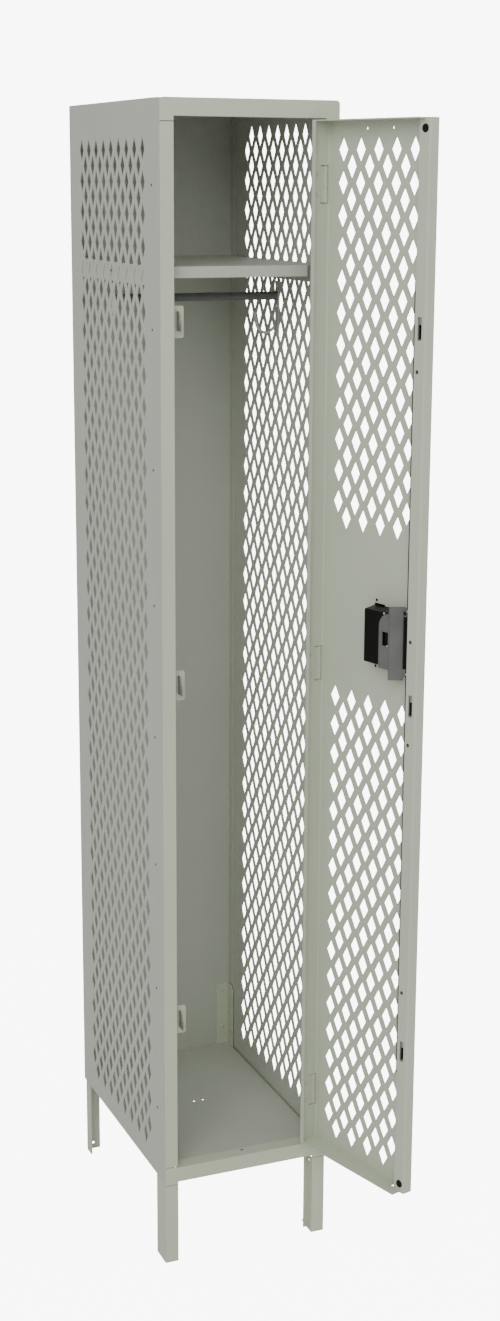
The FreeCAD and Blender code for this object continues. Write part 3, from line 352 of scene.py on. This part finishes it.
def wire(name, points, radius):
    """Mesh of a round wire along a smooth line through its bends."""
    curve = bpy.data.curves.new(name, "CURVE")
    curve.dimensions = "3D"
    spline = curve.splines.new("NURBS")
    spline.points.add(len(points) - 1)
    for point, place in zip(spline.points, points):
        point.co = (*place, 1.0)
    spline.order_u = 4
    spline.use_endpoint_u = True
    spline.resolution_u = 10
    curve.bevel_depth = radius * MM
    curve.bevel_resolution = 6
    curve.use_fill_caps = True
    holder = bpy.data.objects.new(name + "_line", curve)
    bpy.context.scene.collection.objects.link(holder)
    bm = bmesh.new()
    bm.from_mesh(bpy.data.meshes.new_from_object(holder))
    bpy.data.objects.remove(holder)
    return bm


def subtract(obj, tool, sharp):
    """Cut the tool out of a piece and remove the tool."""
    change = obj.modifiers.new("slot", "BOOLEAN")
    change.operation = "DIFFERENCE"
    change.solver = "EXACT"
    change.object = tool
    bpy.context.view_layer.update()
    whole = bpy.data.meshes.new_from_object(obj.evaluated_get(bpy.context.evaluated_depsgraph_get()))
    obj.modifiers.clear()
    obj.data = whole
    whole.set_sharp_from_angle(angle=math.radians(sharp))
    bpy.data.objects.remove(tool)


# ---- moulded pull ------------------------------------------------------------------------

# The far wall steps in at a shoulder, then runs on to the back.
SHOULDER = (11.0, 12.4)
FAR_AT_SHOULDER = 209.0
FAR_AT_BACK = 195.5
DRAFT_NEAR = 4.7
DRAFT_LOW = 6.5
DRAFT_HIGH = 3.0
RIM_MARGIN = 3.0
RIM_CORNER = 9.0

# Walls as (depth, inset, corner radius) and rim as (depth, outset): the outside from the back to
# the face, round the rim, and the inside from the face to the back.
OUTER_WALL = ((28.0, 1.3, 1.2), (27.85, 0.6, 1.5), (27.4, 0.15, 1.8), (26.6, 0.0, 2.0), (18.0, 0.0, 2.2),
              (12.4, 0.0, 2.3), (11.7, 0.0, 2.4), (11.0, 0.0, 2.4), (5.0, 0.0, 2.5), (0.1, 0.0, 2.6))
RIM = ((0.0, 8.6), (-0.5, 9.0), (-1.0, 9.0), (-1.45, 8.5), (-1.6, 7.7))
INNER_WALL = ((-1.6, 0.2, 2.4), (-1.2, 1.2, 2.2), (-0.2, 1.6, 2.0), (5.0, 1.6, 1.9), (9.6, 1.6, 1.8),
              (10.3, 1.6, 1.8), (11.0, 1.9, 1.7), (18.0, 1.9, 1.6), (25.2, 1.9, 1.5), (26.1, 2.5, 1.2),
              (26.4, 3.4, 1.0))


def cup_far(n):
    """Far wall of the pull at depth n."""
    start, end = SHOULDER
    if n <= end:
        return CUP_FAR - (CUP_FAR - FAR_AT_SHOULDER) * max(0.0, n - start) / (end - start)
    return FAR_AT_SHOULDER - (FAR_AT_SHOULDER - FAR_AT_BACK) * (n - end) / (CUP_DEPTH - end)


def cup_ring(n, inset, corner):
    """Outline of the pull at depth n, moved inwards by inset."""
    share = max(0.0, n / CUP_DEPTH)
    near = CUP_NEAR + DRAFT_NEAR * share + inset
    low = CUP_LOW + DRAFT_LOW * share + inset
    high = CUP_HIGH - DRAFT_HIGH * share - inset
    return [on_door(u, n, z) for u, z in round_rect(near, cup_far(n) - inset, low, high, corner)]


def rim_ring(n, outset):
    """Outline of the rim at depth n."""
    outline = round_rect(CUP_NEAR - outset, CUP_FAR + outset, CUP_LOW - RIM_MARGIN - outset,
                         CUP_HIGH + RIM_MARGIN + outset, RIM_CORNER)
    return [on_door(u, n, z) for u, z in outline]


def handle_cup():
    """Black recessed pull: a raised rim, drafted walls, a ledge on top and a slot in its back."""
    bm = bmesh.new()
    rings = [cup_ring(*section) for section in OUTER_WALL]
    rings += [rim_ring(*section) for section in RIM]
    rings += [cup_ring(*section) for section in INNER_WALL]
    loft(bm, rings)
    top = CUP_HIGH + 0.3
    door_block(bm, us=(134.0, 157.0), zs=(top, top + 2.1), ns=(1.95, 2.9), radius=0.5, steps=3)
    sharp = 35.0
    cup = piece("pull_cup", bm, "handle_cup", sharp)
    tool = bmesh.new()
    door_block(tool, us=(189.0, 193.0), zs=(1100.5, 1134.5), ns=(24.0, 30.0), radius=1.9, steps=4)
    subtract(cup, to_object("slot_tool", tool), sharp)


# ---- small hardware ----------------------------------------------------------------------

def recessed_head(bm, place, out, across, radius, height):
    """Pan head with a cross recess."""
    out = Vector(out).normalized()
    across = Vector(across).normalized()
    third = out.cross(across)
    turned(bm, place, out, across, [(radius, 0.0), (radius, height * 0.35), (radius * 0.94, height * 0.62),
                                    (radius * 0.8, height * 0.86), (radius * 0.62, height)])
    reach = radius * 0.52
    half = radius * 0.13
    sunk = 0.03
    depth = 0.05
    arm = ((half, -half), (reach, -half * 0.8), (reach, half * 0.8), (half, half))
    base = place + out * (height - sunk) * MM
    for way, side in ((across, third), (third, across), (-across, third), (-third, across)):
        ring = [base + way * far * MM + side * shift * MM for far, shift in arm]
        loft(bm, [ring, [p + out * depth * MM for p in ring]])


def cup_screws():
    """Four cross-recessed screws in the flange of the pull."""
    bm = bmesh.new()
    seat = 1.2
    columns = (137.5, 216.0)
    rows = (CUP_LOW - 5.6, CUP_HIGH + 7.5)
    for u in columns:
        for z in rows:
            recessed_head(bm, on_door(u, seat, z), INTO_DOOR, UP, radius=2.3, height=2.0)
    piece("pull_screws", bm, "cup_screws")


def stud():
    """Domed stud on the pull's back."""
    bm = bmesh.new()
    dome = [(1.74, 0.0), (1.7, 0.35), (1.45, 0.7), (0.9, 0.9)]
    from_pin = 183.7
    below_top = 4.0
    turned(bm, on_door(from_pin, CUP_DEPTH, CUP_HIGH - below_top), INTO_DOOR, UP, dome, steps=24)
    piece("pull_stud_head", bm, "pull_stud")


def bumpers():
    """Rubber buttons near the ends of the lock edge: a rounded disc with a dished middle."""
    bm = bmesh.new()
    disc = [(6.45, 0.0), (6.45, 0.8), (6.2, 1.35), (5.6, 1.7), (4.6, 1.8), (3.4, 1.72), (2.2, 1.35),
            (1.0, 1.2)]
    from_pin = 243.8
    channel_depth = 20.4
    from_end = 15.9
    for z in (DOOR_TOP - from_end, DOOR_BOTTOM + from_end):
        turned(bm, on_door(from_pin, channel_depth, z), INTO_DOOR, UP, disc, steps=40)
    piece("edge_bumpers", bm, "door_bumpers")


def hook():
    """Bent wire hook with a ball end."""
    y = 11.4
    tip = (108.0, 1634.0)
    bends = [(146.9, 1612.4), (143.4, 1608.4), (138.0, 1604.2), (131.5, 1600.8), (124.0, 1600.8),
             (117.2, 1605.2), (112.4, 1611.8), (110.4, 1619.5), (109.4, 1627.0), tip]
    bm = wire("coat_hook_wire", [in_cabinet(x, y, z) for x, z in bends], radius=2.6)
    ball = Matrix.Translation(in_cabinet(tip[0], y, tip[1]))
    bmesh.ops.create_icosphere(bm, subdivisions=4, radius=3.8 * MM, matrix=ball)
    piece("coat_hook_wire", bm, "coat_hook")


def leg_bolts():
    """Low round heads on both flanges of the rear angles, with spacers behind the ones at the sides."""
    bm = bmesh.new()
    head = [(3.2, 0.0), (3.2, 0.5), (2.95, 1.0), (2.4, 1.4), (1.5, 1.6)]
    spacer = [(3.7, -LEG_SPACER), (4.0, -1.3), (4.0, -0.2), (3.7, 0.0)]
    outside = HALF_WIDTH - SHEET - LEG_SPACER
    inside = outside - LEG_GAUGE
    back_face = HALF_DEPTH - BACK_SHEET - LEG_GAUGE
    side_line = HALF_DEPTH - 16.2
    back_line = HALF_WIDTH - 16.5
    heights = (212.0, 290.0)
    for sign in (-1, 1):
        inwards = (-sign, 0, 0)
        for z in heights:
            turned(bm, in_cabinet(back_line * sign, back_face, z), (0, -1, 0), UP, head)
            turned(bm, in_cabinet(inside * sign, side_line, z), inwards, UP, head)
            turned(bm, in_cabinet(outside * sign, side_line, z), inwards, UP, spacer)
    piece("leg_bolt_heads", bm, "rear_leg_bolts")


def strip_screws():
    """Cross-recessed screws above and below the rod in its brackets."""
    bm = bmesh.new()
    bracket_face = HALF_WIDTH - 4.0
    rod_line = 9.4
    rod_height = 1664.0
    spread = 17.0
    for sign in (-1, 1):
        for z in (rod_height + spread, rod_height - spread):
            place = in_cabinet(bracket_face * sign, rod_line, z)
            recessed_head(bm, place, (-sign, 0, 0), UP, radius=3.4, height=2.0)
    piece("bracket_screw_heads", bm, "bracket_screws")


def rivets():
    """Low domed rivets on each side: a row along the front edge and one halfway back."""
    dome = [(2.2, 0.0), (2.2, 0.16), (2.05, 0.42), (1.7, 0.66), (1.2, 0.82), (0.6, 0.89)]
    row = -190.1
    top = 1849.6
    pitch = 223.9
    halfway = (11.9, 1710.4)
    spots = [(row, top - pitch * i) for i in range(8)] + [halfway]
    for side, sign in (("left", -1), ("right", 1)):
        bm = bmesh.new()
        for y, z in spots:
            turned(bm, in_cabinet(HALF_WIDTH * sign, y, z), (sign, 0, 0), UP, dome, steps=24)
        piece("rivet_row_" + side, bm, "side_rivets_" + side)


def hinge_pins():
    """Headed pins, domed at both ends."""
    bm = bmesh.new()
    half = [(1.5, 28.3), (2.3, 28.4), (2.3, 28.9), (2.05, 29.2), (1.5, 29.36), (0.7, 29.4)]
    whole = [(radius, -height) for radius, height in reversed(half)] + half
    for z in HINGE_HEIGHTS:
        turned(bm, in_cabinet(*PIN, z), UP, (1, 0, 0), whole, steps=24)
    piece("hinge_pin_set", bm, "hinge_pins")


# ---- stage, in metres --------------------------------------------------------------------

BACKDROP_GLOW = 8.0
SKY_ABOVE_FLOOR = 0.5
SOFT_LIGHT = 0.73
PALE = (1.0, 1.0, 0.995, 1.0)


def backdrop():
    """Wide pale floor that glows for the camera and lights nothing but itself."""
    reach = 40.0
    mesh = bpy.data.meshes.new("floor")
    mesh.from_pydata([(-reach, -reach, 0.0), (reach, -reach, 0.0), (reach, reach, 0.0), (-reach, reach, 0.0)],
                     [], [(0, 1, 2, 3)])
    floor = bpy.data.objects.new("floor", mesh)
    bpy.context.scene.collection.objects.link(floor)
    t = Tree("floor_pale")
    tone = t.ramp(t.noise(1.2, detail=3.0), [(0.3, (0.80, 0.80, 0.80)), (0.7, (0.84, 0.84, 0.84))])
    t.wire_up("Base Color", tone)
    t.bsdf.inputs["Roughness"].default_value = 0.95
    t.bsdf.inputs["Specular IOR Level"].default_value = 0.1
    t.bsdf.inputs["Emission Color"].default_value = PALE
    t.bsdf.inputs["Emission Strength"].default_value = BACKDROP_GLOW
    mesh.materials.append(t.mat)
    own = bpy.data.collections.new("backdrop_glow")
    own.objects.link(floor)
    floor.light_linking.receiver_collection = own


def sky():
    """Even studio light all round, seen by the camera as the same pale white as the floor."""
    world = bpy.data.worlds.new("studio")
    world.use_nodes = True
    nodes = world.node_tree.nodes
    link = world.node_tree.links.new
    soft = nodes["Background"]
    soft.inputs["Color"].default_value = (1.0, 1.0, 1.0, 1.0)
    soft.inputs["Strength"].default_value = SOFT_LIGHT
    pale = nodes.new("ShaderNodeBackground")
    pale.inputs["Color"].default_value = PALE
    pale.inputs["Strength"].default_value = BACKDROP_GLOW + SKY_ABOVE_FLOOR
    rays = nodes.new("ShaderNodeLightPath")
    mix = nodes.new("ShaderNodeMixShader")
    link(rays.outputs["Is Camera Ray"], mix.inputs[0])
    link(soft.outputs["Background"], mix.inputs[1])
    link(pale.outputs["Background"], mix.inputs[2])
    link(mix.outputs["Shader"], nodes["World Output"].inputs["Surface"])
    bpy.context.scene.world = world


def area(name, place, target, size, power):
    """Square soft light that faces its target."""
    light = bpy.data.lights.new(name, "AREA")
    light.shape = "SQUARE"
    light.size = size
    light.energy = power
    obj = bpy.data.objects.new(name, light)
    obj.location = place
    way = Vector(target) - Vector(place)
    obj.rotation_euler = way.to_track_quat("-Z", "Y").to_euler()
    bpy.context.scene.collection.objects.link(obj)


def lights():
    """A large key from the left front and a weak fill from the right."""
    area("key", (-2.4, -3.8, 3.8), (0.0, -0.1, 1.0), size=3.2, power=140.0)
    area("fill", (3.4, -2.6, 2.2), (0.1, -0.2, 1.0), size=2.6, power=17.0)


def camera():
    """Same station and lens as the reference view."""
    station = (-1.22647, -3.17406, 1.85776)
    yaw = math.radians(22.647)
    pitch = math.radians(13.681)
    roll = math.radians(-0.295)
    forward = Vector((math.sin(yaw) * math.cos(pitch), math.cos(yaw) * math.cos(pitch), -math.sin(pitch)))
    right = Vector((math.cos(yaw), -math.sin(yaw), 0.0))
    down = forward.cross(right)
    across = right * math.cos(roll) + down * math.sin(roll)
    below = down * math.cos(roll) - right * math.sin(roll)
    lens = bpy.data.cameras.new("camera")
    lens.sensor_fit = "VERTICAL"
    lens.sensor_height = 36.0
    lens.lens = 53.785
    obj = bpy.data.objects.new("camera", lens)
    turn = Matrix((across, -below, -forward)).transposed().to_4x4()
    obj.matrix_world = Matrix.Translation(station) @ turn
    bpy.context.scene.collection.objects.link(obj)
    bpy.context.scene.camera = obj


for step in (dress_cad, handle_cup, cup_screws, stud, bumpers, hook, leg_bolts, strip_screws, rivets,
             hinge_pins, backdrop, sky, lights, camera):
    step()
